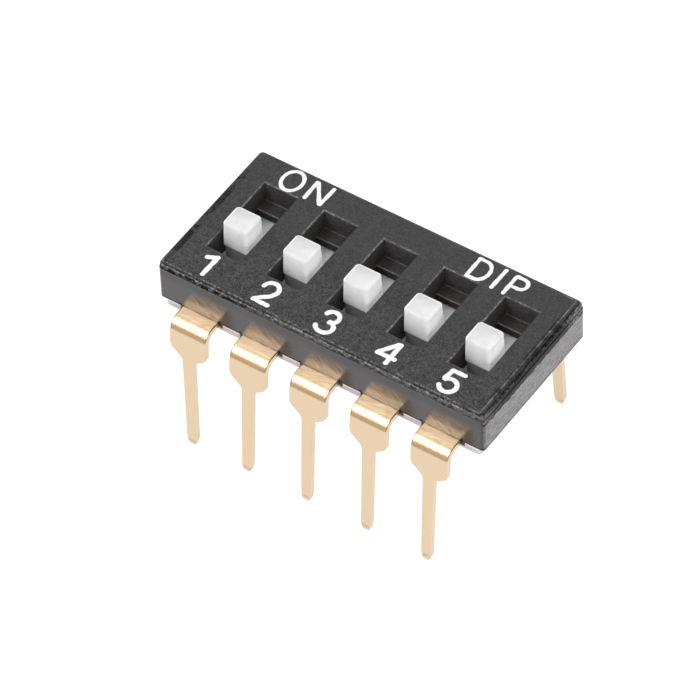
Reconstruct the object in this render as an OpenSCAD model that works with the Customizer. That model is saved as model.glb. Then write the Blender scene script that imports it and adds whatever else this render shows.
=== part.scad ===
// Slide DIP switch: a black cover with one stepped slot for each switch, a light base,
// a raised white slider in each slot and two rows of gold leads.
// The origin is in the middle of the footprint, at the height of the lead tips. +Y is the ON side.

/* [Switch row] */
// Number of switches in the row
positions = 5; // [2:1:10]
// Distance from one switch to the next
pitch = 2.54; // [2.5:0.01:2.8]
// Distance from the outer switches' centre lines to the ends of the cover
end_margin = 1.74; // [1.5:0.01:2.2]

/* [Cover] */
// Width of the cover across the two rows of leads
cover_w = 6.44; // [6.3:0.01:7]
// Height of the cover
cover_h = 1.74; // [1.6:0.01:2.2]
// Height of the smooth upright wall round the bottom of the cover
wall_h = 1.46; // [0.8:0.01:1.55]
// Width of the small step on top of the smooth wall
wall_step = 0.02; // [0:0.01:0.05]
// Width of the rounded edge between the top face and the two long walls
side_round = 0.12; // [0.05:0.01:0.2]
// Width of the rounded edge between the top face and the end wall at the last switch
right_round = 0.24; // [0.05:0.01:0.3]
// Width of the rounded edge between the top face and the end wall at the first switch
left_round = 0.12; // [0.05:0.01:0.3]
// Height of the rounded edge
edge_drop = 0.15; // [0.05:0.01:0.25]
// Radius of the cover's upright corners
corner_r = 0.15; // [0.05:0.01:0.3]
// Thickness of the cover's top between the slots and the hollows below
top_plate_t = 1.21; // [1.1:0.01:1.25]

/* [Slots] */
// Width of a slot
slot_w = 1.4; // [1.3:0.01:1.5]
// Distance from a knob at the end of its travel to the end of the slot
slot_gap = 0.72; // [0.6:0.01:0.78]
// How far the slots sit from the middle of the cover, towards the ON side
slot_shift = 0.14; // [0:0.01:0.15]
// Depth of the shelf at each end of a slot
shelf_depth = 0.88; // [0.6:0.01:1]
// Length of the shelf at each end of a slot
shelf_l = 0.54; // [0.45:0.01:0.58]
// Chamfer round the mouth of a slot
mouth_chamfer = 0.05; // [0.02:0.01:0.08]

/* [Sliders] */
// Length of a knob in the direction in which it slides
knob_l = 0.98; // [0.9:0.01:1.05]
// Width of a knob
knob_w = 1.06; // [0.9:0.01:1.15]
// Height of a knob above the cover
knob_rise = 0.64; // [0.3:0.01:1]
// How far a knob reaches down into its slot
knob_reach = 0.52; // [0.3:0.01:0.6]
// Radius of a knob's edges
knob_r = 0.07; // [0.05:0.01:0.2]
// How far the stem stands back from the knob's front and back faces
stem_inset = 0.06; // [0.02:0.01:0.1]
// Width of the stem
stem_w = 1.04; // [0.9:0.01:1.25]
// Travel of a slider from OFF to ON
travel = 1.17; // [1:0.01:1.2]
// Width of the flange that keeps a slider under the cover
flange_w = 1.9; // [1.7:0.01:1.95]
// Thickness of the flange
flange_t = 0.22; // [0.15:0.01:0.25]
// How far the flange still laps under the shelves at the end of its travel
flange_lap = 0.06; // [0.04:0.01:0.08]

/* [Moving contacts] */
// Width of a contact leaf
leaf_w = 0.9; // [0.7:0.01:1.2]
// Thickness of a contact leaf
leaf_t = 0.09; // [0.06:0.01:0.1]
// Distance between the two feet of a contact leaf
foot_span = 0.9; // [0.8:0.01:1]
// Radius of the peg that holds a leaf
peg_r = 0.15; // [0.1:0.01:0.18]
// How far the peg stands below its leaf
peg_head = 0.04; // [0.02:0.01:0.06]

/* [Base] */
// Thickness of the base's rim
rim_t = 0.39; // [0.34:0.01:0.5]
// How far the rim stands back from the long walls of the cover
rim_side_inset = 0.08; // [0.04:0.01:0.15]
// How far the rim stands back from the end walls of the cover
rim_end_inset = 0.2; // [0.05:0.01:0.25]
// Height of the block below the rim
block_h = 0.45; // [0.2:0.01:0.6]
// How far the block stands back from the rim
block_inset = 0.65; // [0.6:0.01:0.8]

/* [Leads] */
// Distance between the two rows of leads, middle to middle, just below the bends
row_span = 7.86; // [7.8:0.01:8.2]
// Thickness of the lead strip
lead_t = 0.25; // [0.2:0.01:0.25]
// Width of a lead at the cover
lead_w = 1.52; // [1.3:0.01:1.6]
// Outer radius of the bend
bend_r = 0.55; // [0.45:0.01:0.6]
// Angle at which the leads spread outwards
splay = 4.5; // [0:0.5:6]
// Length of the wide part below the bend
wide_l = 0.65; // [0.3:0.01:0.8]
// Length of the sloping shoulder
shoulder_l = 0.42; // [0.3:0.01:0.7]
// Length of the narrow leg, from its shoulder to its tip
leg_l = 4.03; // [3:0.01:5]
// Width of a leg at its shoulder
leg_w = 0.46; // [0.4:0.01:0.6]
// Width of a leg above its tip
leg_low_w = 0.41; // [0.38:0.01:0.5]
// Length of the pointed tip
tip_l = 0.32; // [0.2:0.01:0.5]
// Width of the flat end of the tip
tip_w = 0.26; // [0.15:0.01:0.3]
// Sideways lean of the first front leg, which is bent, in degrees
first_lean = 2.6; // [0:0.1:4]
// Gap between the two fixed contacts of a switch
contact_gap = 0.4; // [0.3:0.01:0.5]

/* [Fits] */
// Clearance above and below the leads
lead_fit = 0.01; // [0.005:0.005:0.02]
// Clearance beside the leads
groove_fit = 0.02; // [0.01:0.005:0.04]
// Clearance between a flange and the hollow round it
slide_fit = 0.03; // [0.02:0.005:0.04]
// Clearance between a contact leaf and the fixed contacts
contact_fit = 0.015; // [0.01:0.005:0.03]
// Clearance between a peg and its hole
peg_fit = 0.02; // [0.01:0.005:0.04]

/* [Hidden] */
$fn = 32;
eps = 0.01;

cover_l = (positions - 1) * pitch + 2 * end_margin;
slot_l = knob_l + travel + 2 * slot_gap;
well_l = slot_l - 2 * shelf_l;
flange_l = well_l + travel + 2 * flange_lap;
hollow_l = flange_l + travel + 2 * slide_fit;
hollow_w = flange_w + 2 * slide_fit;

blade_l = wide_l + shoulder_l + leg_l;
bend_in_r = bend_r - lead_t;
bend_y = row_span / 2 - (bend_r - lead_t / 2) * cos(splay);
lead_top = bend_r - bend_in_r * sin(splay) + blade_l * cos(splay);
cover_z = lead_top + lead_fit;
top_z = cover_z + cover_h;

off_y = slot_shift - travel / 2;
on_y = off_y + travel;
flange_z = top_z - top_plate_t - slide_fit - flange_t;
foot_z = lead_top + contact_fit;

rim_l = cover_l - 2 * rim_end_inset;
rim_w = cover_w - 2 * rim_side_inset;

function switch_x(i) = (i - (positions + 1) / 2) * pitch;

// Corner points of a rectangle with round corners, centred on the origin
function round_rect(l, w, r, steps = 6) = [
    for (c = [0:3], s = [0:steps])
        let (a = c * 90 + s * 90 / steps,
             sx = (c == 0 || c == 3) ? 1 : -1,
             sy = c < 2 ? 1 : -1)
        [sx * (l / 2 - r) + r * cos(a), sy * (w / 2 - r) + r * sin(a)]
];

// Block centred in plan, standing on z = 0
module block(l, w, h) translate([-l / 2, -w / 2, 0]) cube([l, w, h]);

// Smooth wall below, a small step, then a matt band whose top edge is rounded
module cover_outside() {
    layer = 0.002;
    linear_extrude(height = wall_h) polygon(round_rect(cover_l, cover_w, corner_r));
    hull() {
        translate([0, 0, wall_h - layer]) linear_extrude(height = layer)
            polygon(round_rect(cover_l - 2 * wall_step, cover_w - 2 * wall_step, corner_r));
        for (t = [0:15:90]) {
            left = wall_step + (left_round - wall_step) * (1 - cos(t));
            right = wall_step + (right_round - wall_step) * (1 - cos(t));
            side = wall_step + (side_round - wall_step) * (1 - cos(t));
            translate([(left - right) / 2, 0, cover_h - edge_drop * (1 - sin(t)) - layer])
                linear_extrude(height = layer)
                    polygon(round_rect(cover_l - left - right, cover_w - 2 * side, corner_r));
        }
    }
}

// Everything that is open in the cover for one switch: mouth, slot, well between the shelves, hollow
module cover_opening() {
    mouth = 2 * (mouth_chamfer + eps);
    translate([0, 0, cover_h - mouth_chamfer])
        linear_extrude(height = mouth_chamfer + eps, slices = 1,
                       scale = [(slot_w + mouth) / slot_w, (slot_l + mouth) / slot_l])
            square([slot_w, slot_l], center = true);
    translate([0, 0, cover_h - shelf_depth]) block(slot_w, slot_l, shelf_depth - mouth_chamfer + eps / 2);
    translate([0, 0, cover_h - top_plate_t - eps]) block(slot_w, well_l, top_plate_t - shelf_depth + 2 * eps);
    translate([0, 0, -eps]) block(hollow_w, hollow_l, cover_h - top_plate_t + eps);
}

module cover() {
    color("#343436") translate([0, 0, cover_z]) difference() {
        cover_outside();
        for (i = [1:positions]) translate([switch_x(i), slot_shift, 0]) cover_opening();
    }
}

module knob() {
    h = knob_rise + knob_reach;
    hull() {
        linear_extrude(height = h / 2) polygon(round_rect(knob_w, knob_l, knob_r));
        for (sx = [-1, 1], sy = [-1, 1])
            translate([sx * (knob_w / 2 - knob_r), sy * (knob_l / 2 - knob_r), h - knob_r])
                sphere(r = knob_r, $fn = 24);
    }
}

module slider(i) {
    stem_h = top_plate_t + slide_fit - knob_reach;
    peg_h = leaf_t + peg_head;
    color("#f2f2f0") translate([switch_x(i), off_y, flange_z]) {
        block(flange_w, flange_l, flange_t);
        translate([0, 0, flange_t - eps]) block(stem_w, knob_l - 2 * stem_inset, stem_h + 2 * eps);
        translate([0, 0, flange_t + stem_h]) knob();
        translate([0, 0, -peg_h]) cylinder(r = peg_r, h = peg_h + eps);
    }
}

// Side view of a contact leaf: flat in the middle, down to a foot on each side, then turned up
function leaf_line(y) =
    let (foot = foot_span / 2, flat = foot_span / 5,
         drop = flange_z - leaf_t - foot_z)
    abs(y) <= flat ? 0 : -drop * (1 - cos((abs(y) - flat) * 180 / (foot - flat))) / 2;

module moving_contact(i) {
    steps = 48;
    reach = foot_span * 0.62;
    ys = [for (k = [0:steps]) reach * (2 * k / steps - 1)];
    color("#e3c48f") translate([switch_x(i), off_y, flange_z - leaf_t]) difference() {
        rotate([90, 0, 90]) translate([0, 0, -leaf_w / 2]) linear_extrude(height = leaf_w)
            polygon(concat([for (y = ys) [y, leaf_line(y)]],
                           [for (k = [steps:-1:0]) [ys[k], leaf_line(ys[k]) + leaf_t]]));
        translate([0, 0, -eps]) cylinder(r = peg_r + peg_fit, h = leaf_t + 2 * eps);
    }
}

module base() {
    groove_w = lead_w + 2 * groove_fit;
    groove_z = rim_t - lead_t - 2 * lead_fit;
    color("#ece6e8") translate([0, 0, cover_z - rim_t]) difference() {
        union() {
            linear_extrude(height = rim_t) polygon(round_rect(rim_l, rim_w, corner_r));
            translate([0, 0, -block_h])
                block(rim_l - 2 * block_inset, rim_w - 2 * block_inset, block_h + eps);
        }
        for (i = [1:positions]) {
            front_end = on_y - contact_gap / 2 + groove_fit;
            back_end = on_y + contact_gap / 2 - groove_fit;
            translate([switch_x(i) - groove_w / 2, -rim_w / 2 - eps, groove_z])
                cube([groove_w, front_end + rim_w / 2 + eps, rim_t]);
            translate([switch_x(i) - groove_w / 2, back_end, groove_z])
                cube([groove_w, rim_w / 2 - back_end + eps, rim_t]);
        }
    }
}

// Flat outline of a lead below its bend: wide part, sloping shoulders, tapering leg and tip
function blade_outline(lean) =
    let (z1 = -wide_l, z2 = z1 - shoulder_l, z3 = -blade_l + tip_l, z4 = -blade_l,
         shift = tan(lean), turn = lead_w / 10)
    [[-lead_w / 2, 0], [-lead_w / 2, z1 + turn], [-lead_w / 2 + turn / 2, z1 - turn / 2],
     [-leg_w / 2 - turn / 2, z2 + turn], [-leg_w / 2, z2 - turn / 2],
     [-leg_low_w / 2 - shift * (z3 - z2), z3], [-tip_w / 2 - shift * (z4 - z2), z4],
     [tip_w / 2 - shift * (z4 - z2), z4], [leg_low_w / 2 - shift * (z3 - z2), z3],
     [leg_w / 2, z2 - turn / 2], [leg_w / 2 + turn / 2, z2 + turn],
     [lead_w / 2 - turn / 2, z1 - turn / 2], [lead_w / 2, z1 + turn], [lead_w / 2, 0]];

// One lead with its fixed contact, leaving the base towards -Y; its contact ends at y = contact_y
module terminal(contact_y, lean) {
    translate([-lead_w / 2, -bend_y, -lead_t]) cube([lead_w, contact_y + bend_y, lead_t]);
    translate([0, -bend_y, -bend_r]) {
        translate([-lead_w / 2, 0, 0]) rotate([90, 0, 90]) rotate([0, 0, 90])
            rotate_extrude(angle = 90 - splay) translate([bend_in_r, 0]) square([lead_t, lead_w]);
        rotate([-splay, 0, 0]) translate([0, -bend_r, 0])
            rotate([90, 0, 0]) translate([0, 0, -lead_t]) linear_extrude(height = lead_t)
                polygon(blade_outline(lean));
    }
}

module front_terminal(i)
    color("#e3c48f") translate([switch_x(i), 0, lead_top])
        terminal(on_y - contact_gap / 2, i == 1 ? first_lean : 0);

module back_terminal(i)
    color("#e3c48f") translate([switch_x(i), 0, lead_top]) rotate([0, 0, 180])
        terminal(-on_y - contact_gap / 2, 0);

cover();
base();
for (i = [1:positions]) {
    slider(i);
    moving_contact(i);
    front_terminal(i);
    back_terminal(i);
}
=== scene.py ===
import math

import bmesh
import bpy
import numpy as np
from mathutils import Matrix, Vector


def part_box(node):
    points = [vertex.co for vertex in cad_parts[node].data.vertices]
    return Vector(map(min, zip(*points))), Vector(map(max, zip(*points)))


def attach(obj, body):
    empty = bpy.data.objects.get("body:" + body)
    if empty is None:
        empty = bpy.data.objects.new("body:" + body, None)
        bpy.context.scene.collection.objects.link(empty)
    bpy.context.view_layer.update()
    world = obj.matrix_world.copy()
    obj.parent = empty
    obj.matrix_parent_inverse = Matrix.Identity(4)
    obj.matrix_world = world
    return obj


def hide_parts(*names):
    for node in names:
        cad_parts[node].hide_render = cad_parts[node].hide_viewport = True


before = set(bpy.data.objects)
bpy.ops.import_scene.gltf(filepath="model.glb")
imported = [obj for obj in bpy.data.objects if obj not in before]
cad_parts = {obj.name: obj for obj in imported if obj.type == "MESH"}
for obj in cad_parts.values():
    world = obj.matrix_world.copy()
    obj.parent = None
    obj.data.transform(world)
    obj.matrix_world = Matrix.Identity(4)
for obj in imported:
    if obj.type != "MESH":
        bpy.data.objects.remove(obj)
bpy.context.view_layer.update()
mm = 0.001
rng = np.random.default_rng(5)
print("frame loaded:", len(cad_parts), "nodes")

coverLow, coverHigh = (np.array(c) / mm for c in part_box("cover"))
topZ, footZ = coverHigh[2], coverLow[2]
switchCount = sum(name.startswith("slider_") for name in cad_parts)

row = {                    # mm, as in the frame's cover
    "pitch": 2.54,         # switch to switch
    "slotWide": 1.40,
    "slotLong": 3.59,
    "slotShift": 0.14,     # slots sit a little towards ON
    "shelfDepth": 0.88,
    "shelfLong": 0.54,
    "wallTop": footZ + 1.46,           # where the smooth wall ends and the matt band starts
    "topLeft": coverLow[0] + 0.12,     # where the rounded edges start
    "topRight": coverHigh[0] - 0.24,
    "topHalfY": coverHigh[1] - 0.12,
    "endDrop": 0.26,       # how much lower the matt band reaches on the ends
    "slitX": 0.83,         # painted shadow of the gap beside a lead, from the lead's middle
}


def switchX(i):
    return (i - (switchCount + 1) / 2) * row["pitch"]


def chain(*parts):
    return np.concatenate(parts)


def roundedSection(steps):
    # Corner signs, arc directions and flat run-outs of a rectangle with round corners, once round
    a = np.linspace(0, math.pi / 2, steps)
    ax, ay = chain([1], np.cos(a), [0]), chain([0], np.sin(a), [1])
    ex, ey = chain([0], 0 * a, [1]), chain([1], 0 * a, [0])
    corners = []
    for signX, signY in ((1, 1), (-1, 1), (-1, -1), (1, -1)):
        turn = slice(None) if signX * signY > 0 else slice(None, None, -1)
        signs = np.full(len(ax), signX), np.full(len(ax), signY)
        corners.append([*signs, ax[turn], ay[turn], ex[turn], ey[turn]])
    return [chain(*part).astype(float) for part in zip(*corners)]


def carried(centre, side, face, halfWide, halfThick, radius, steps, runOut=0.01):
    # A rounded rectangle carried along a path. The point at step s and corner k is
    # centre(s) + side(s)*x + face(s)*y, where x and y are
    # sign*(half size - radius - run-out + radius*arc direction).
    # Both ends are closed by the same section drawn in to its middle.
    def doubled(v):
        return chain(v[:1], v[:1], v, v[-1:], v[-1:])

    def drawnIn(half):
        return chain([0, max(half[0] - runOut, 0)], half, [max(half[-1] - runOut, 0), 0])

    sx, sy, ox, oy, ix, iy = roundedSection(steps)
    w, t = drawnIn(halfWide), drawnIn(halfThick)
    r = np.minimum(np.minimum(w, t), doubled(radius))
    runX = np.minimum(runOut, np.maximum(w - r, 0) * 0.5)[:, None]
    runY = np.minimum(runOut, np.maximum(t - r, 0) * 0.5)[:, None]
    x = sx * ((w - r)[:, None] - runX * ix + r[:, None] * ox)
    y = sy * ((t - r)[:, None] - runY * iy + r[:, None] * oy)
    c, sd, fc = (doubled(v)[:, None, :] for v in (centre, side, face))
    return c + sd * x[..., None] + fc * y[..., None]


def newObject(name, data):
    made = bpy.data.objects.new(name, data)
    bpy.context.scene.collection.objects.link(made)
    return made


def gridFaces(rings, around, offset):
    i, j = np.meshgrid(np.arange(rings - 1), np.arange(around), indexing="ij")
    k = (j + 1) % around
    corners = [i * around + j, i * around + k, (i + 1) * around + k, (i + 1) * around + j]
    return (np.stack(corners, -1) + offset).reshape(-1, 4)


def makePiece(name, grids, body, material, sharp=35):
    # Grids of points (mm) become one smooth mesh, with its seams merged and its faces turned outwards;
    # an edge sharper than so many degrees stays crisp
    verts, faces, offset = [], [], 0
    for g in grids:
        verts.append(g.reshape(-1, 3)); faces.append(gridFaces(g.shape[0], g.shape[1], offset))
        offset += g.shape[0] * g.shape[1]
    mesh = bpy.data.meshes.new(name)
    mesh.from_pydata((chain(*verts) * mm).tolist(), [], chain(*faces).tolist())
    bm = bmesh.new(); bm.from_mesh(mesh)
    bmesh.ops.remove_doubles(bm, verts=bm.verts, dist=1e-7)
    bmesh.ops.dissolve_degenerate(bm, edges=bm.edges, dist=1e-8)
    bmesh.ops.recalc_face_normals(bm, faces=bm.faces)
    for e in bm.edges:
        e.smooth = len(e.link_faces) != 2 or e.calc_face_angle(0) < math.radians(sharp)
    for f in bm.faces:
        f.smooth = True
    bm.to_mesh(mesh); bm.free()
    piece = newObject(name, mesh)
    mesh.materials.append(material)
    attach(piece, body)
    return piece


def group(name, inputs, outputs):
    # inputs and outputs give each socket's name and its usual value, a number or a vector
    tree = bpy.data.node_groups.new(name, "ShaderNodeTree")
    for way, sockets in (("INPUT", inputs), ("OUTPUT", outputs)):
        for label, value in sockets.items():
            kind = "NodeSocketFloat" if isinstance(value, float) else "NodeSocketVector"
            tree.interface.new_socket(name=label, in_out=way, socket_type=kind).default_value = value
    return tree, tree.nodes.new("NodeGroupInput").outputs, tree.nodes.new("NodeGroupOutput").inputs


def put(tree, kind, settings=None, **links):
    # Adds a node: settings are its properties, links its inputs by name or number (a socket or a value)
    n = tree.nodes.new(kind)
    for key, value in (settings or {}).items():
        setattr(n, key, value)
    for key, value in links.items():
        s = n.inputs[int(key[1:])] if key[0] == "i" and key[1:].isdigit() else n.inputs[key.replace("_", " ")]
        if isinstance(value, bpy.types.NodeSocket):
            tree.links.new(value, s)
        else:
            s.default_value = value
    return n


def shared(tree, groupTree, **links):
    return put(tree, "ShaderNodeGroup", {"node_tree": groupTree}, **links).outputs


def math1(tree, op, a, b=0.0, c=0.0, clamp=False):
    return put(tree, "ShaderNodeMath", {"operation": op, "use_clamp": clamp}, i0=a, i1=b, i2=c).outputs[0]


def plus(tree, a, b):
    return math1(tree, "ADD", a, b)


def minus(tree, a, b):
    return math1(tree, "SUBTRACT", a, b)


def inverse(tree, value):
    return minus(tree, 1.0, value)


def absolute(tree, value):
    return math1(tree, "ABSOLUTE", value)


def times(tree, *values):
    out = values[0]
    for v in values[1:]:
        out = math1(tree, "MULTIPLY", out, v)
    return out


def largest(tree, *values):
    out = values[0]
    for v in values[1:]:
        out = math1(tree, "MAXIMUM", out, v)
    return out


def swing(tree, value, amount, middle=0.0):
    # The middle, moved by how far a 0 to 1 pattern lies above or below a half
    return math1(tree, "MULTIPLY_ADD", minus(tree, value, 0.5), amount, middle)


def ramp(tree, value, edges, outLow=0.0, outHigh=1.0, base=0.0):
    # Smooth step from one output to the other between two edges, which are measured from the base
    low, high = (e + base if base else e for e in edges)
    return put(tree, "ShaderNodeMapRange", {"interpolation_type": "SMOOTHSTEP"}, Value=value,
               From_Min=low, From_Max=high, To_Min=outLow, To_Max=outHigh).outputs[0]


def near(tree, value, centre, width):
    # 1 where the value is at the centre, falling in a straight line to 0 at the width
    far = absolute(tree, minus(tree, value, centre))
    return math1(tree, "SUBTRACT", 1.0, math1(tree, "DIVIDE", far, width), clamp=True)


def mixColor(tree, factor, a, b):
    return put(tree, "ShaderNodeMix", {"data_type": "RGBA"}, i0=factor, i6=a, i7=b).outputs[2]


def mixValue(tree, factor, a, b):
    return put(tree, "ShaderNodeMix", {"data_type": "FLOAT"}, i0=factor, i2=a, i3=b).outputs[0]


def noise(tree, vector, scale, detail=3.0, roughness=0.55):
    return put(tree, "ShaderNodeTexNoise", None, Vector=vector, Scale=scale, Detail=detail,
               Roughness=roughness).outputs[0]


def split(tree, vector):
    return put(tree, "ShaderNodeSeparateXYZ", None, Vector=vector).outputs[:3]


def joined(tree, x, y, z):
    return put(tree, "ShaderNodeCombineXYZ", None, X=x, Y=y, Z=z).outputs[0]


def vectorMath(tree, op, a, b=(0, 0, 0)):
    return put(tree, "ShaderNodeVectorMath", {"operation": op}, i0=a, i1=b).outputs[0]


def turned(tree, vector, axis, degrees):
    return put(tree, "ShaderNodeVectorRotate", {"rotation_type": axis + "_AXIS"}, Vector=vector,
               Angle=math.radians(degrees)).outputs[0]


def fromSwitch(tree, x):
    # Distance along X from the nearest switch's centre line, negative on its -X side
    along = math1(tree, "FLOORED_MODULO", minus(tree, x, switchX(1) - row["pitch"] / 2), row["pitch"])
    return minus(tree, along, row["pitch"] / 2)


# Position in millimetres, so every scale below is per millimetre
def buildMillimetres():
    tree, _, out = group("millimetres", {}, {"Position": (0, 0, 0)})
    place = put(tree, "ShaderNodeTexCoord").outputs["Object"]
    scaled = put(tree, "ShaderNodeVectorMath", {"operation": "SCALE"}, Vector=place, Scale=1 / mm)
    tree.links.new(scaled.outputs[0], out["Position"])
    return tree


grainShape = {
    "broadScale": 0.22, "broadShare": 0.22, "tone": (0.36, 0.64), "dotShift": (7.3, 2.1, 4.4),
    "dotScale": 1.3, "speckEdge": 0.78, "speckMore": 0.25, "speckSoft": 0.08, "speckHigh": 0.4,
}


# Fine moulded grain: a fine and a broad noise for the tone, a third one for the specks
def buildGrain():
    k = grainShape
    tree, given, out = group("mouldedGrain", {"Position": (0, 0, 0), "Scale": 9.0, "Speck Amount": 0.3},
                             {"Tone": 0.0, "Specks": 0.0, "Height": 0.0})
    pos, scale = given["Position"], given["Scale"]
    fine = noise(tree, pos, scale, 4.0, 0.6)
    broad = noise(tree, pos, times(tree, scale, k["broadScale"]), 2.0)
    moved = vectorMath(tree, "ADD", pos, k["dotShift"])
    dots = noise(tree, moved, times(tree, scale, k["dotScale"]), 2.0, 0.7)
    both = math1(tree, "MULTIPLY_ADD", broad, k["broadShare"], times(tree, fine, 1 - k["broadShare"]))
    edge = minus(tree, k["speckEdge"], times(tree, given["Speck Amount"], k["speckMore"]))
    specks = ramp(tree, dots, (edge, plus(tree, edge, k["speckSoft"])))
    tree.links.new(ramp(tree, both, k["tone"]), out["Tone"])
    tree.links.new(specks, out["Specks"])
    tree.links.new(plus(tree, fine, times(tree, specks, k["speckHigh"])), out["Height"])
    return tree


def broken(tree, line, given, scale, detail, edges):
    # Breaks a line up by a patchy noise
    patch = ramp(tree, noise(tree, given["Position"], scale, detail), edges)
    kept = inverse(tree, times(tree, given["Patchiness"], patch))
    return math1(tree, "MULTIPLY", line, kept, clamp=True)


# A broken line along a rectangle's outline: distance from the outline, faded, times a patchy noise
def buildOutline():
    tree, given, out = group("brokenOutline", {"Position": (0, 0, 0), "Half X": 1.0, "Half Y": 1.0,
                                               "Width": 0.04, "Patchiness": 0.5}, {"Mask": 0.0})
    x, y, _ = split(tree, given["Position"])
    dx = minus(tree, absolute(tree, x), given["Half X"])
    dy = minus(tree, absolute(tree, y), given["Half Y"])
    line = near(tree, largest(tree, dx, dy), 0.0, given["Width"])
    tree.links.new(broken(tree, line, given, 2.3, 3.0, (0.35, 0.65)), out["Mask"])
    return tree


# Thin line round every slot's mouth: the same outline, repeated at the row's pitch
def buildSlotRim():
    tree, given, out = group("slotRim", {"Position": (0, 0, 0), "Width": 0.05, "Patchiness": 0.4},
                             {"Mask": 0.0})
    x, y, z = split(tree, given["Position"])
    local = joined(tree, fromSwitch(tree, x), minus(tree, y, row["slotShift"]), z)
    chamfer = 0.03
    line = shared(tree, outlineTree, Position=local, Half_X=row["slotWide"] / 2 + chamfer,
                  Half_Y=row["slotLong"] / 2 + chamfer, Width=given["Width"], Patchiness=0.0)[0]
    tree.links.new(broken(tree, line, given, 3.1, 2.0, (0.4, 0.62)), out["Mask"])
    return tree


# Drawing lines in rolled strip: noise stretched along one axis
def buildStreaks():
    tree, given, out = group("rolledStreaks", {"Position": (0, 0, 0), "Stretch": (0.4, 14.0, 14.0),
                                               "Amount": 1.0}, {"Tone": 0.0, "Height": 0.0})
    fine = noise(tree, vectorMath(tree, "MULTIPLY", given["Position"], given["Stretch"]), 1.6, 4.0, 0.65)
    cloud = noise(tree, given["Position"], 1.7, 3.0)
    tone = swing(tree, cloud, 0.5, swing(tree, fine, given["Amount"], 0.5))
    tree.links.new(tone, out["Tone"])
    tree.links.new(fine, out["Height"])
    return tree


millimetresTree = buildMillimetres()
grainTree = buildGrain()
outlineTree = buildOutline()
slotRimTree = buildSlotRim()
streakTree = buildStreaks()
print("shader groups built")


def newMaterial(name, **sockets):
    mat = bpy.data.materials.new(name)
    mat.use_nodes = True
    tree = mat.node_tree
    shader = tree.nodes["Principled BSDF"].inputs
    for key, value in sockets.items():
        shader[key.replace("_", " ")].default_value = value
    return mat, tree, shader, shared(tree, millimetresTree)[0]


def bump(tree, shader, height, distance, strength=1.0):
    n = put(tree, "ShaderNodeBump", None, Height=height, Distance=distance * mm, Strength=strength)
    tree.links.new(n.outputs[0], shader["Normal"])
    return n.inputs


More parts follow.
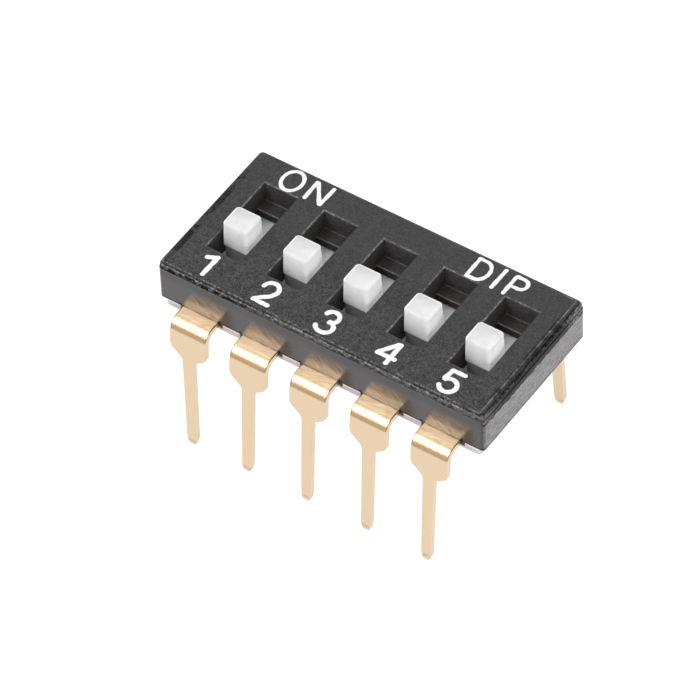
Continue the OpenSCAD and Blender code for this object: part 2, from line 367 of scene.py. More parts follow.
coverLook = {
    "topDark": (0.028, 0.028, 0.029, 1), "topLight": (0.088, 0.087, 0.088, 1),
    "speck": (0.24, 0.235, 0.235, 1),
    "bandDark": (0.003, 0.003, 0.003, 1), "bandLight": (0.066, 0.064, 0.066, 1),
    "paleDark": (0.035, 0.033, 0.035, 1), "paleLight": (0.125, 0.118, 0.123, 1),
    "endBandDark": (0.0005, 0.0005, 0.0005, 1), "endBandLight": (0.012, 0.0115, 0.012, 1),
    "frontWall": (0.009, 0.004, 0.008, 1),
    "endDark": (0.012, 0.010, 0.012, 1), "endLight": (0.120, 0.105, 0.118, 1),
    # on the next line: the painted reflection of the leads, the dark-line colour and the painted edge
    # highlight
    "leadReflection": (0.240, 0.164, 0.108, 1), "line": (0.003, 0.003, 0.003, 1), "edgeHighlight": (0.36, 0.35, 0.35, 1),
    # inside a slot: painted light and shade, by which way a face looks and how deep it lies
    "well": (0.040, 0.031, 0.028, 1), "shelf": (0.078, 0.078, 0.076, 1),
    "slotBack": (0.100, 0.094, 0.095, 1), "slotSide": (0.060, 0.055, 0.054, 1),
    "topRough": 0.55, "bandRough": 0.42, "wallRough": 0.30, "roughSwing": 0.08,
    "ior": 1.25, "coatIor": 1.58, "coatRough": 0.20, "coat": (0.97, 0.78), "coatZ": (6.5, 6.95),
    "relief": 0.028, "reliefStrength": 0.9, "coarseRelief": (1.3, 0.5), "wallRelief": (0.05, 0.35),
    "grainScale": 15.0, "grainSpecks": 0.75, "coarseScale": 10.0, "coarseSpecks": 1.0,
    "brush": (1.0, 1.6, 6.0), "brushAmount": 2.2,
    "scratch": (1.2, 15.0, 15.0), "scratchAmount": 2.0, "scratchTurn": -45,
    # where a finish starts and ends, mm: from the top, the walls, the wall's top or the middle
    "topEdge": (-0.05, -0.02), "endEdge": (-0.02, 0.02), "skin": (-0.36, -0.30), "bandEdge": (-0.004, 0.004),
    "ragged": 0.35, "toneY": (-3.0, 2.5), "speckY": (-3.0, 2.0), "paleX": (-5.2, -1.5), "paleZ": (0.15, 0.20),
    "endBandY": (-3.2, -1.2), "chippedY": (1.7, 2.7), "frontY": (-3.0, -2.8), "rightX": (6.0, 6.3),
    "shelfTop": (0.01, 0.03), "shelfFoot": (-0.03, -0.01), "sideX": (-0.03, -0.01), "wellZ": (-0.06, -0.02),
    # the painted reflection of a lead on the wall above it
    "lean": 0.47, "rowStart": (-1.2, -1.1), "patchHalf": (0.66, 0.84), "patchHigh": (0.35, 1.15),
    "patchTone": (0.4, 1.35), "patchBack": 0.4,
    # painted edge highlights, dark lines, painted shade at the wall's foot and painted shadows of the gaps:
    # place and width, mm
    "rimWide": 0.038, "rimZ": (-0.07, -0.05), "mouthWide": 0.036, "mouthZ": (-0.06, -0.04),
    "bevelLine": (0.19, 0.05), "ledgeLine": (-0.03, 0.05), "shelfLine": 0.055, "slotEndLine": 0.05,
    "joinLine": (0.09, 0.10), "joinWave": 0.22, "joinDark": 4.0, "joinX": (-4.6, -2.6),
    "upperLine": (-0.035, 0.03),
    "footLine": 0.01, "footWide": (0.075, 0.12), "leadX": (0.70, 0.78), "slitWide": 0.08, "slitHigh": 0.16,
    "slitDark": 3.0, "grooveY": (-3.4, -2.0),
    # how much of each shows, from its weak to its strong places
    "toneFade": (1.0, 0.45), "speckFade": (0.55, 0.28), "paleBand": 0.55, "bandSpecks": 0.6,
    "rimKept": (0.12, 0.75), "rimRight": (0.30, 0.75), "bevelKept": (0.2, 0.95), "bevelRight": 0.3,
    "ledgeKept": (0.15, 0.5), "mouthKept": (0.35, 1.2), "mouthLit": (0.03, 0.8), "mouthBack": 0.9,
    "shelfKept": (0.6, 1.0), "slotEndKept": 0.7, "joinKept": (0.15, 0.6), "joinRight": 0.22,
    "upperKept": 0.9, "footKept": (1.2, 0.9), "footLead": (0.1, 0.7), "grooveKept": (0.1, 0.6),
}


def coverOutside(tree, k, at, coarse, brushed, chipped):
    # Matt band, smooth wall and the painted reflections of the leads on it
    pale = largest(tree, ramp(tree, at["x"], k["paleX"]),
                   ramp(tree, at["z"], k["paleZ"], 0.0, k["paleBand"], row["wallTop"]))
    band = mixColor(tree, coarse["Tone"], mixColor(tree, pale, k["bandDark"], k["paleDark"]),
                    mixColor(tree, pale, k["bandLight"], k["paleLight"]))
    endBand = mixColor(tree, ramp(tree, brushed, (0.2, 0.8)), k["endBandDark"], k["endBandLight"])
    band = mixColor(tree, times(tree, at["end"], ramp(tree, at["y"], k["endBandY"])), band, endBand)
    wornBand = mixColor(tree, coarse["Tone"], k["paleDark"], k["paleLight"])
    band = mixColor(tree, times(tree, at["end"], chipped), band, wornBand)
    specks = times(tree, coarse["Specks"], mixValue(tree, at["end"], k["bandSpecks"], chipped))
    band = mixColor(tree, specks, band, k["speck"])
    endTone = ramp(tree, math1(tree, "MULTIPLY_ADD", coarse["Tone"], 0.3, brushed), (0.35, 0.95))
    wall = mixColor(tree, at["end"], k["frontWall"], mixColor(tree, endTone, k["endDark"], k["endLight"]))
    # painted reflection of the gold leads on the wall: streaked, fading upwards, leaning on the front wall
    up = minus(tree, at["z"], footZ)
    lean = absolute(tree, minus(tree, at["dx"], times(tree, up, at["front"], k["lean"])))
    scratch = shared(tree, streakTree, Position=turned(tree, at["pos"], "Y", k["scratchTurn"]),
                     Stretch=k["scratch"], Amount=k["scratchAmount"])["Tone"]
    leadReflection = times(tree, ramp(tree, lean, k["patchHalf"], 1.0, 0.0), ramp(tree, up, k["patchHigh"], 1.0, 0.0),
                 ramp(tree, scratch, (0.3, 0.7), *k["patchTone"]),
                 ramp(tree, at["x"], k["rowStart"], base=switchX(1)),
                 mixValue(tree, at["front"], k["patchBack"], 1.0), inverse(tree, at["end"]))
    return mixColor(tree, at["wall"], band, mixColor(tree, leadReflection, wall, k["leadReflection"]))


def coverInside(tree, k, at, coarse):
    # Inside a slot, painted light and shade by facing and depth: the back wall lightest, the side walls
    # darker, the shelves in between, the well below them darkest
    z, shelfZ = at["z"], at["shelfZ"]
    onShelf = times(tree, ramp(tree, z, k["shelfTop"], 1.0, 0.0, shelfZ),
                    ramp(tree, z, k["shelfFoot"], base=shelfZ))
    side = ramp(tree, absolute(tree, at["dx"]), k["sideX"], base=row["slotWide"] / 2)
    inside = mixColor(tree, ramp(tree, z, k["wellZ"], base=shelfZ), k["well"],
                      mixColor(tree, side, k["slotBack"], k["slotSide"]))
    inside = mixColor(tree, onShelf, inside, k["shelf"])
    return mixColor(tree, times(tree, inverse(tree, coarse["Tone"]), 0.55), inside, k["well"])


def paintedEdgeHighlights(tree, k, at, flecks):
    # Painted highlights along edges, broken up in patches: the top face's edge, the wall's top, the mouths,
    # the shelves' edges
    z, wallTop, right = at["z"], row["wallTop"], ramp(tree, at["x"], k["rightX"])
    patches = ramp(tree, noise(tree, at["pos"], 2.1, 3.0), (0.38, 0.58))
    middle = ((row["topLeft"] + row["topRight"]) / 2, 0, 0)
    rimHighlight = shared(tree, outlineTree, Position=vectorMath(tree, "SUBTRACT", at["pos"], middle),
                 Half_X=(row["topRight"] - row["topLeft"]) / 2, Half_Y=row["topHalfY"] - 0.01,
                 Width=k["rimWide"], Patchiness=0.0)[0]
    weak, strong = k["rimKept"]
    kept = mixValue(tree, at["front"], times(tree, patches, weak), times(tree, flecks, strong))
    kept = mixValue(tree, right, kept, mixValue(tree, patches, *k["rimRight"]))
    rimHighlight = times(tree, rimHighlight, ramp(tree, z, k["rimZ"], base=topZ), kept)
    place, wide = k["bevelLine"]
    bevel = times(tree, at["outer"], near(tree, z, wallTop + place, wide), flecks,
                  mixValue(tree, right, mixValue(tree, at["front"], *k["bevelKept"]), k["bevelRight"]))
    place, wide = k["ledgeLine"]
    weak, strong = k["ledgeKept"]
    ledge = times(tree, at["outer"], near(tree, at["bandZ"], wallTop + place, wide),
                  mixValue(tree, at["end"], times(tree, flecks, weak), mixValue(tree, patches, 0.0, strong)))
    mouth = shared(tree, slotRimTree, Position=at["pos"], Width=k["mouthWide"], Patchiness=0.7)[0]
    mouth = times(tree, mouth, mixValue(tree, flecks, *k["mouthKept"]))
    slotY = minus(tree, at["y"], row["slotShift"])
    lit = ramp(tree, slotY, (-0.05, 0.0), base=row["slotLong"] / 2)
    left = math1(tree, "LESS_THAN", at["dx"], 0.0)
    lit = mixValue(tree, lit, mixValue(tree, left, *k["mouthLit"]), k["mouthBack"])
    mouth = times(tree, mouth, ramp(tree, z, k["mouthZ"], base=topZ), lit)
    slotY = absolute(tree, slotY)
    inner = largest(tree, near(tree, slotY, row["slotLong"] / 2 - row["shelfLong"], k["shelfLine"]),
                    times(tree, near(tree, slotY, row["slotLong"] / 2, k["slotEndLine"]), k["slotEndKept"]))
    inner = times(tree, inner, near(tree, z, at["shelfZ"], 0.05), inverse(tree, at["outer"]),
                  mixValue(tree, flecks, *k["shelfKept"]))
    return largest(tree, rimHighlight, bevel, ledge, mouth, inner)


def darkLines(tree, k, at, flecks, brushed, chipped):
    # Broken dark lines where the band meets the wall and just below the top, painted shade at the wall's
    # foot, the painted shadows of the gaps beside the leads and the grooves in the end band
    pos, z, end, outer, wallTop = at["pos"], at["z"], at["end"], at["outer"], row["wallTop"]
    onSide, across = inverse(tree, end), absolute(tree, at["dx"])
    dashes = ramp(tree, noise(tree, pos, 3.2, 2.0, 0.6), (0.47, 0.54))
    weak, strong = k["joinKept"]
    fade = times(tree, at["front"], ramp(tree, at["x"], k["joinX"], 1.0, k["joinRight"]))
    fade = mixValue(tree, end, largest(tree, fade, weak), strong)
    wavy = swing(tree, noise(tree, pos, 2.6, 2.0), k["joinWave"], at["bandZ"])
    place, wide = k["joinLine"]
    join = times(tree, outer, near(tree, wavy, wallTop + place, wide), dashes, fade, k["joinDark"])
    place, wide = k["upperLine"]
    upper = times(tree, outer, near(tree, z, topZ + place, wide), inverse(tree, flecks), k["upperKept"])
    footShade = times(tree, outer, near(tree, z, footZ + k["footLine"], mixValue(tree, end, *k["footWide"])),
                 mixValue(tree, end, *k["footKept"]))
    onLead = times(tree, ramp(tree, across, k["leadX"], 1.0, 0.0), onSide)
    patchy = ramp(tree, noise(tree, pos, 3.0, 2.0), (0.42, 0.58), *k["footLead"])
    footShade = times(tree, footShade, mixValue(tree, onLead, 1.0, patchy))
    gapShadow = times(tree, near(tree, across, row["slitX"], k["slitWide"]), near(tree, z, footZ, k["slitHigh"]),
                 outer, onSide, k["slitDark"])
    groove = times(tree, outer, end, inverse(tree, at["wall"]),
                   ramp(tree, brushed, (0.35, 0.65), *k["grooveKept"]), inverse(tree, chipped),
                   ramp(tree, at["y"], k["grooveY"]))
    return math1(tree, "MINIMUM", largest(tree, join, upper, footShade, gapShadow, groove), 1.0)


def buildCoverMaterial():
    k = coverLook
    mat, tree, shader, pos = newMaterial("coverBlack", IOR=k["ior"], Coat_IOR=k["coatIor"],
                                         Coat_Roughness=k["coatRough"])
    x, y, z = split(tree, pos)
    grain = shared(tree, grainTree, Position=pos, Scale=k["grainScale"], Speck_Amount=k["grainSpecks"])
    coarse = shared(tree, grainTree, Position=pos, Scale=k["coarseScale"], Speck_Amount=k["coarseSpecks"])
    brushed = shared(tree, streakTree, Position=pos, Stretch=k["brush"], Amount=k["brushAmount"])["Tone"]
    # which part of the moulding a point is on
    onTop = ramp(tree, z, k["topEdge"], base=topZ)
    outX, outY = minus(tree, absolute(tree, x), coverHigh[0]), minus(tree, absolute(tree, y), coverHigh[1])
    atEnd = ramp(tree, minus(tree, outX, outY), k["endEdge"])
    outer = ramp(tree, largest(tree, outX, outY), k["skin"])
    ragged = swing(tree, noise(tree, pos, 2.2, 4.0, 0.7), k["ragged"], row["endDrop"])
    bandZ = math1(tree, "MULTIPLY_ADD", atEnd, ragged, z)       # the matt band reaches lower on the ends
    onWall = times(tree, outer, ramp(tree, bandZ, k["bandEdge"], 1.0, 0.0, row["wallTop"]))
    at = {"pos": pos, "x": x, "y": y, "z": z, "dx": fromSwitch(tree, x), "bandZ": bandZ, "end": atEnd,
          "outer": outer, "wall": onWall, "front": ramp(tree, y, k["frontY"], 1.0, 0.0),
          "shelfZ": topZ - row["shelfDepth"]}
    chipped = ramp(tree, y, k["chippedY"])       # the matt band is worn pale again at the back corner
    flecks = ramp(tree, noise(tree, pos, 8.0, 2.0, 0.7), (0.48, 0.60))
    # the top face's tone and specks grow weaker towards the back
    spread = times(tree, minus(tree, grain["Tone"], 0.5), ramp(tree, y, k["toneY"], *k["toneFade"]))
    top = mixColor(tree, plus(tree, spread, 0.5), k["topDark"], k["topLight"])
    specks = times(tree, grain["Specks"], ramp(tree, y, k["speckY"], *k["speckFade"]))
    top = mixColor(tree, specks, top, k["speck"])
    color = mixColor(tree, outer, coverInside(tree, k, at, coarse),
                     coverOutside(tree, k, at, coarse, brushed, chipped))
    # painted highlights along the edges go over everything else
    color = mixColor(tree, paintedEdgeHighlights(tree, k, at, flecks), mixColor(tree, onTop, color, top), k["edgeHighlight"])
    dark = darkLines(tree, k, at, flecks, brushed, chipped)
    tree.links.new(mixColor(tree, dark, color, k["line"]), shader["Base Color"])
    tree.links.new(dark, shader["Metallic"])
    rough = mixValue(tree, onTop, mixValue(tree, onWall, k["bandRough"], k["wallRough"]), k["topRough"])
    tree.links.new(swing(tree, grain["Tone"], k["roughSwing"], rough), shader["Roughness"])
    coat = times(tree, onWall, ramp(tree, z, k["coatZ"], *k["coat"]), inverse(tree, times(tree, dark, 0.9)))
    tree.links.new(coat, shader["Coat Weight"])
    relief = mixValue(tree, onWall, times(tree, coarse["Height"], mixValue(tree, atEnd, *k["coarseRelief"])),
                      times(tree, grain["Height"], mixValue(tree, atEnd, *k["wallRelief"])))
    bump(tree, shader, mixValue(tree, onTop, relief, grain["Height"]), k["relief"], k["reliefStrength"])
    return mat


slider = {                 # mm; a corner is the radius of the upright edges, at the foot and at the top
    "knobWide": 1.06, "knobLong": 0.98, "centreY": -0.445, "knobCorner": (0.05, 0.15), "knobRound": 0.08,
    "reach": 0.52,         # from the cover's top down to the knob's foot
    "stemWide": 1.04, "stemLong": 0.86, "stemCorner": (0.06, 0.06), "stemRound": 0.02,
    "neckLow": 1.21,       # from the cover's top down to the neck's foot
    "overlap": 0.05, "flangeGap": 0.03, "flangeThick": 0.22, "flangeCorner": (0.05, 0.05),
    "flangeRound": 0.03, "peg": 0.30, "pegCorner": (0.14, 0.14), "pegRound": 0.01,
}

plasticLook = {
    "base": {"dark": (0.80, 0.765, 0.77, 1), "light": (0.90, 0.87, 0.875, 1), "rough": 0.42, "scale": 5.0,
             # the rim's lower part takes a greyer painted shade, and the gaps beside the leads a painted
             # shadow
             "relief": 0.008, "lowerShade": (0.52, 0.45, 0.48, 1), "lowerZ": (-0.20, -0.14),
             "gapShadow": (0.04, 0.02, 0.015, 1), "slitWide": 0.09, "slitZ": (-0.32, -0.24), "slitDark": 3.0},
    "slider": {"dark": (0.75, 0.75, 0.752, 1), "light": (0.80, 0.795, 0.795, 1), "rough": 0.42, "scale": 3.5,
               "relief": 0.004, "depth": 0.4, "through": 1.0, "radius": (1.0, 0.95, 0.9),
               # the neck colour is painted shade under the knob, the edge colour a painted highlight, the
               # shade colour painted shade
               "neckShade": (0.35, 0.33, 0.335, 1), "neckFoot": (-1.23, -1.21), "neckTop": (-0.535, -0.525),
               "edge": (0.98, 0.975, 0.97, 1), "edgeWide": (-0.11, -0.05), "edgeZ": (0.5, 0.58),
               "shade": (0.36, 0.36, 0.36, 1), "shadeY": (-0.48, -0.1), "shadeAmount": 0.24,
               "shadeFoot": (-0.53, -0.52), "shadeZ": (0.1, 0.6),
               "softX": 0.75, "softY": 1.2, "softFrom": 0.45, "softFoot": (-0.52, -0.5),
               "paintedGlow": 0.12, "lowZ": (-0.52, 0.05), "rightX": (0.3, 0.53), "rightY": (-0.4, 0.4),
               "rightZ": (0.30, 0.58), "glowFoot": (-0.525, -0.515), "flangeZ": (-1.25, -1.23)},
    "ink": {"dark": (0.86, 0.86, 0.855, 1), "light": (0.97, 0.97, 0.965, 1), "rough": 0.5, "scale": 12.0,
            "relief": 0.006},
}


def plasticStart(name, k):
    mat, tree, shader, pos = newMaterial(name)
    grain = shared(tree, grainTree, Position=pos, Scale=k["scale"], Speck_Amount=0.1)
    return mat, tree, shader, pos, grain, mixColor(tree, grain["Tone"], k["dark"], k["light"])


def plasticEnd(tree, shader, k, grain, color):
    tree.links.new(color, shader["Base Color"])
    tree.links.new(swing(tree, grain["Tone"], 0.10, k["rough"]), shader["Roughness"])
    return bump(tree, shader, grain["Height"], k["relief"])


def buildBaseMaterial():
    # Painted shade: the lower part of the rim is greyer, and painted shadows of the gaps stand dark beside
    # the leads
    k = plasticLook["base"]
    mat, tree, shader, pos, grain, color = plasticStart("baseLight", k)
    x, _, z = split(tree, pos)
    lowerShade = times(tree, ramp(tree, z, k["lowerZ"], 1.0, 0.0, footZ), mixValue(tree, grain["Tone"], 1.0, 0.75))
    color = mixColor(tree, lowerShade, color, k["lowerShade"])
    gapShadow = times(tree, near(tree, absolute(tree, fromSwitch(tree, x)), row["slitX"], k["slitWide"]),
                 ramp(tree, z, k["slitZ"], base=footZ), k["slitDark"])
    color = mixColor(tree, math1(tree, "MINIMUM", gapShadow, 1.0), color, k["gapShadow"])
    plasticEnd(tree, shader, k, grain, color)
    return mat


def buildSliderMaterial():
    k = plasticLook["slider"]
    mat, tree, shader, pos, grain, color = plasticStart("sliderWhite", k)
    x, y, z = split(tree, pos)
    dx, dy = fromSwitch(tree, x), minus(tree, y, slider["centreY"])
    # painted shade: the neck between knob and flange is dark
    neckShade = times(tree, ramp(tree, z, k["neckFoot"], base=topZ), ramp(tree, z, k["neckTop"], 1.0, 0.0, topZ))
    color = mixColor(tree, neckShade, color, k["neckShade"])
    # painted highlight on the knob's back and left edges, and painted shade towards its front
    inner, outer = k["edgeWide"]
    onEdge = largest(tree, ramp(tree, dx, (-outer, -inner), 1.0, 0.0, -slider["knobWide"] / 2),
                     ramp(tree, dy, k["edgeWide"], base=slider["knobLong"] / 2))
    rimHighlight = times(tree, onEdge, ramp(tree, z, k["edgeZ"], base=topZ))
    shade = times(tree, ramp(tree, dy, k["shadeY"], k["shadeAmount"], 0.0),
                  ramp(tree, z, k["shadeFoot"], base=topZ), ramp(tree, z, k["shadeZ"], 1.0, 0.7, topZ))
    color = mixColor(tree, rimHighlight, mixColor(tree, shade, color, k["shade"]), k["edge"])
    # painted light, given as emission: low on the knob, on its right side, on its edge highlight and on the
    # flange
    paintedGlow = k["paintedGlow"]
    low = times(tree, ramp(tree, z, k["lowZ"], 1.0, 0.0, topZ),
                ramp(tree, dx, (-0.53, 0.53), paintedGlow * 0.55, paintedGlow * 1.9))
    right = times(tree, ramp(tree, dx, k["rightX"]), ramp(tree, z, k["rightZ"], paintedGlow, 0.0, topZ),
                  ramp(tree, dy, k["rightY"], 0.85, 1.4))
    light = times(tree, plus(tree, low, right), ramp(tree, z, k["glowFoot"], base=topZ))
    light = plus(tree, light, times(tree, rimHighlight, paintedGlow))
    light = plus(tree, light, ramp(tree, z, k["flangeZ"], paintedGlow * 0.5, 0.0, topZ))
    tree.links.new(joined(tree, light, light, light), shader["Emission Color"])
    shader["Emission Strength"].default_value = 1.0
    shader["Subsurface Weight"].default_value = k["through"]
    shader["Subsurface Scale"].default_value = k["depth"] * mm
    shader["Subsurface Radius"].default_value = k["radius"]
    # the knob's faces run softly into each other
    outward = joined(tree, times(tree, dx, k["softX"]), times(tree, dy, k["softY"]),
                     minus(tree, z, topZ - k["softFrom"]))
    soft = put(tree, "ShaderNodeMix", {"data_type": "VECTOR"}, i0=ramp(tree, z, k["softFoot"], base=topZ),
               i4=put(tree, "ShaderNodeNewGeometry").outputs["Normal"],
               i5=vectorMath(tree, "NORMALIZE", outward)).outputs[1]
    relief = plasticEnd(tree, shader, k, grain, color)
    tree.links.new(vectorMath(tree, "NORMALIZE", soft), relief["Normal"])
    return mat


def buildInkMaterial():
    k = plasticLook["ink"]
    mat, tree, shader, _, grain, color = plasticStart("printWhite", k)
    plasticEnd(tree, shader, k, grain, color)
    return mat


goldLook = {
    "deep": (0.48, 0.32, 0.17, 1), "bright": (0.75, 0.59, 0.41, 1), "cut": (0.76, 0.62, 0.45, 1),
    "flatDeep": (0.72, 0.47, 0.28, 1), "flatBright": (1.0, 0.80, 0.53, 1), "rolled": (0.93, 0.61, 0.33, 1),
    "edgeBrown": (0.10, 0.055, 0.03, 1), "smudge": (0.45, 0.36, 0.27, 1),
    "flatRough": 0.17, "bendRough": 0.20, "legRough": 0.26, "flatMetal": 0.5,
    "streakTurn": -20, "streakAmount": 1.3, "upperZ": (5.0, 5.3), "edgeBrownZ": (5.2, 5.35),
    # how far a face looks up or sideways where each finish starts and ends
    "flatUp": (0.90, 0.995), "rolledUp": (0.28, 0.55), "bendUp": (0.45, 0.75), "cutSide": (0.6, 0.9),
    "edgeBrownSide": (0.12, 0.3), "edgeBrownEnd": (0.75, 0.95),
    "tipZ": 0.25, "tipHigh": 0.10, "lift": 0.22, "liftFrom": (0.10, 0.35), "liftTo": (0.93, 0.997),
    "relief": 0.010, "reliefStrength": 0.8,
}


def buildGoldMaterial():
    k = goldLook
    mat, tree, shader, pos = newMaterial("contactGold")
    z = split(tree, pos)[2]
    streak = shared(tree, streakTree, Position=turned(tree, pos, "Z", k["streakTurn"]),
                    Amount=k["streakAmount"])
    across, _, upward = split(tree, put(tree, "ShaderNodeNewGeometry").outputs["True Normal"])
    sideways = absolute(tree, across)
    flat = ramp(tree, upward, k["flatUp"])       # the rolled top of the strip
    upper = ramp(tree, z, k["upperZ"])
    spread = minus(tree, streak["Tone"], 0.5)
    tone = math1(tree, "MULTIPLY_ADD", spread, mixValue(tree, upper, 0.10, 0.35), 0.9)
    color = mixColor(tree, tone, k["deep"], k["bright"])
    color = mixColor(tree, times(tree, upper, ramp(tree, upward, k["rolledUp"])), color, k["rolled"])
    topTone = math1(tree, "MULTIPLY_ADD", spread, 2.2, 0.65, clamp=True)
    color = mixColor(tree, flat, color, mixColor(tree, topTone, k["flatDeep"], k["flatBright"]))
    color = mixColor(tree, times(tree, ramp(tree, sideways, k["cutSide"]), 0.55), color, k["cut"])
    # darker brown where the upper strip's face turns to its side
    sideEdge = times(tree, ramp(tree, sideways, k["edgeBrownSide"]), ramp(tree, sideways, k["edgeBrownEnd"], 1.0, 0.0))
    color = mixColor(tree, times(tree, sideEdge, ramp(tree, z, k["edgeBrownZ"]), 0.85), color, k["edgeBrown"])
    # a brown smudge just above the pale bevel of the tip
    wavyZ = math1(tree, "MULTIPLY_ADD", noise(tree, pos, 6.0, 2.0), 0.10, z)
    smudge = times(tree, near(tree, wavyZ, k["tipZ"], k["tipHigh"]),
                   ramp(tree, noise(tree, pos, 9.0, 2.0), (0.38, 0.5)), 0.8)
    tree.links.new(mixColor(tree, smudge, color, k["smudge"]), shader["Base Color"])
    tree.links.new(mixValue(tree, flat, 1.0, k["flatMetal"]), shader["Metallic"])
    curved = mixValue(tree, ramp(tree, upward, k["bendUp"]), k["legRough"], k["bendRough"])
    rough = mixValue(tree, flat, curved, k["flatRough"])
    rough = math1(tree, "MULTIPLY_ADD", spread, mixValue(tree, flat, 0.06, 0.25), rough)
    tree.links.new(rough, shader["Roughness"])
    height = times(tree, streak["Height"], mixValue(tree, flat, times(tree, upper, 0.25), 1.0))
    relief = bump(tree, shader, height, k["relief"], k["reliefStrength"])
    # the bend was rolled a little flat: its normal is raised, most in the middle of the bend
    smooth = put(tree, "ShaderNodeNewGeometry").outputs["Normal"]
    rise = split(tree, smooth)[2]
    lift = times(tree, upper, ramp(tree, rise, k["liftFrom"], 0.0, k["lift"]),
                 ramp(tree, rise, k["liftTo"], 1.0, 0.0))
    raised = vectorMath(tree, "ADD", smooth, joined(tree, 0.0, 0.0, lift))
    tree.links.new(vectorMath(tree, "NORMALIZE", raised), relief["Normal"])
    return mat


coverBlack = buildCoverMaterial()
baseLight = buildBaseMaterial()
sliderWhite = buildSliderMaterial()
printWhite = buildInkMaterial()
contactGold = buildGoldMaterial()

for name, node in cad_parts.items():
    node.data.materials.clear()
    node.data.materials.append(coverBlack if name == "cover" else baseLight if name == "base"
                               else sliderWhite if name.startswith("slider") else contactGold)
print("materials on", len(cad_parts), "nodes")


def block(x, y, z0, z1, wide, long, corner, roundTop, roundBottom=0.02):
    # Upright block: the half sizes fall in by radius*(1 - cos a) while the height runs on by radius*sin a;
    # its upright edges go from the first corner radius at the bottom to the second at the top
    a = np.linspace(0, math.pi / 2, 9)
    bottom, top = roundBottom * (1 - np.sin(a)), roundTop * (1 - np.cos(a))
    height = chain(z0 + roundBottom * (1 - np.cos(a)), z1 - roundTop + roundTop * np.sin(a))
    inset = chain(bottom, top)
    n = len(height)
    centre = np.stack([np.full(n, x), np.full(n, y), height], -1)
    side, face = np.tile([1.0, 0, 0], (n, 1)), np.tile([0, 1.0, 0], (n, 1))
    radius = np.maximum(np.interp(height, [z0, z1], corner) - inset * 0.6, 0.01)
    return carried(centre, side, face, wide / 2 - inset, long / 2 - inset, radius, steps=7)


def makeSlider(i):
    k = slider
    low, high = (np.array(c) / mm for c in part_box(f"slider_{i}"))
    x, y = (low[0] + high[0]) / 2, (low[1] + high[1]) / 2
    knobLow = topZ - k["reach"]
    flangeTop = topZ - k["neckLow"] - k["flangeGap"]
    flangeLow = flangeTop - k["flangeThick"]
    parts = [
        block(x, y, knobLow, high[2], k["knobWide"], k["knobLong"], k["knobCorner"], k["knobRound"]),
        block(x, y, flangeTop - k["overlap"], knobLow + k["overlap"], k["stemWide"], k["stemLong"],
              k["stemCorner"], k["stemRound"]),
        block(x, y, flangeLow, flangeTop, high[0] - low[0], high[1] - low[1], k["flangeCorner"],
              k["flangeRound"]),
        block(x, y, low[2], flangeLow + k["flangeGap"], k["peg"], k["peg"], k["pegCorner"], k["pegRound"]),
    ]
    piece = makePiece(f"sliderMoulding_{i}", parts, f"switch_{i}", sliderWhite)
    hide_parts(f"slider_{i}")


for i in range(1, switchCount + 1):
    makeSlider(i)
print("sliders made")

lead = {                   # mm and degrees
    "rowSpan": 7.86, "thick": 0.25, "wide": 1.52, "bend": 0.55, "splay": 4.5,
    "wideLong": 0.65, "shoulder": 0.42,
    "soften": 0.11,        # reach that rounds the corners of the sloping shoulder
    "square": 1.9,         # power of the squarer one
    "leg": 4.03, "legWide": 0.46, "legLow": 0.41, "tipLong": 0.32, "tipWide": 0.26, "tipPower": 1.3,
    "lean": 2.6,           # of the first lead
    "drop": 0.01,          # below the cover's foot
    "edgeRound": 0.035, "contactGap": 0.40, "onY": 0.725,
}


def leadPath(contactY, lean):
    # Centre line of the strip: a flat run, a bend of 90 - splay degrees, then a straight blade;
    # the -X half width falls along its shoulder in a straight line, averaged over a short reach so that
    # its corners are round; the +X one falls as a power of the way along, a squarer corner; then both taper
    k = lead
    turn = math.radians(90 - k["splay"])
    r = k["bend"] - k["thick"] / 2
    bendY = k["rowSpan"] / 2 - r * math.cos(math.radians(k["splay"]))
    legTop = k["wideLong"] + k["shoulder"]
    blade = legTop + k["leg"]
    flat = np.linspace(-contactY, bendY, 6)[:-1]
    a = np.linspace(0, turn, 28)
    s = chain(np.linspace(0, k["wideLong"] - 0.12, 4)[1:],
              np.linspace(k["wideLong"] - 0.10, legTop + 0.10, 34),
              np.linspace(legTop + 0.14, blade - k["tipLong"] - 0.02, 10),
              np.linspace(blade - k["tipLong"], blade, 10))
    z0 = footZ - k["drop"] - k["thick"] / 2
    y = chain(flat, bendY + r * np.sin(a), bendY + r * np.sin(turn) + s * math.cos(turn))
    z = chain(0 * flat, -r * (1 - np.cos(a)), -r * (1 - math.cos(turn)) - s * math.sin(turn)) + z0
    along = chain(0 * flat, 0 * a, s)
    angle = chain(0 * flat, a, 0 * s + turn)
    x = np.tan(math.radians(lean)) * np.maximum(along - k["wideLong"] - k["shoulder"], 0)
    offsets = np.linspace(-k["soften"], k["soften"], 7)
    sloped = np.mean([np.clip((along + off - k["wideLong"]) / k["shoulder"], 0, 1) for off in offsets],
                     axis=0)
    square = np.clip((along - k["wideLong"]) / k["shoulder"], 0, 1) ** k["square"]
    low = np.clip((along - k["wideLong"] - k["shoulder"]) / (k["leg"] - k["tipLong"]), 0, 1)
    point = np.clip((along - blade + k["tipLong"]) / k["tipLong"], 0, 1)
    left, right = (k["wide"] + (k["legWide"] - k["wide"]) * side + (k["legLow"] - k["legWide"]) * low
                   + (k["tipWide"] - k["legLow"]) * point ** k["tipPower"] for side in (sloped, square))
    thick = k["thick"] * (1 - 0.35 * np.clip(point - 0.7, 0, 1))       # a little thinner at the very tip
    centre = np.stack([x + (right - left) / 4, -y, z], -1)
    face = np.stack([0 * y, -np.sin(angle), np.cos(angle)], -1)
    return centre, face, (left + right) / 4, thick / 2


